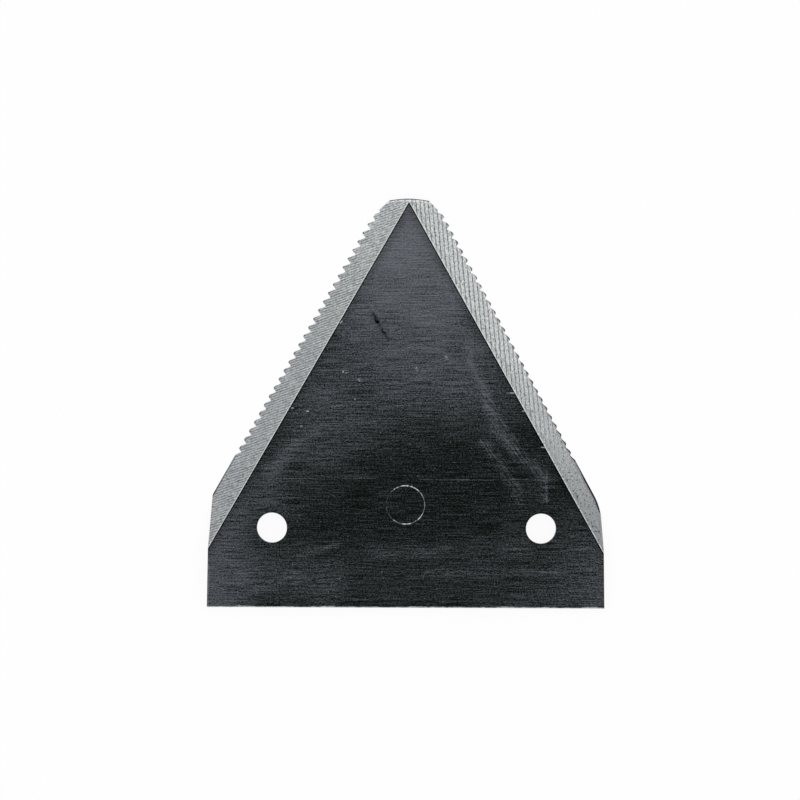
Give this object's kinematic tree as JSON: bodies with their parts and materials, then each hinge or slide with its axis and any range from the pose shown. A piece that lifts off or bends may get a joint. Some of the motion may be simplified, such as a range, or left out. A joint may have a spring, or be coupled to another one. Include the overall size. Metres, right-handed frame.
{
  "type": "mower sickle section",
  "caption": "Flat triangular mower knife section with ground bevels serrated from below, a blunt tip and a heel drilled for rivets, which cuts against the guards of a finger bar.",
  "frame": {"origin": "midway between the two rivet holes, on the underside that lies on the knife bar", "axes": "+X along the heel to the right, +Y from the heel to the tip, +Z out of the bevelled face"},
  "size_m": [0.075, 0.0772, 0.002],
  "materials": {
    "hardened_steel": "dark hardened strip steel with bright ground bevels"
  },
  "bodies": {
    "root": {"knife_section": "hardened_steel"}
  },
  "joints": []
}
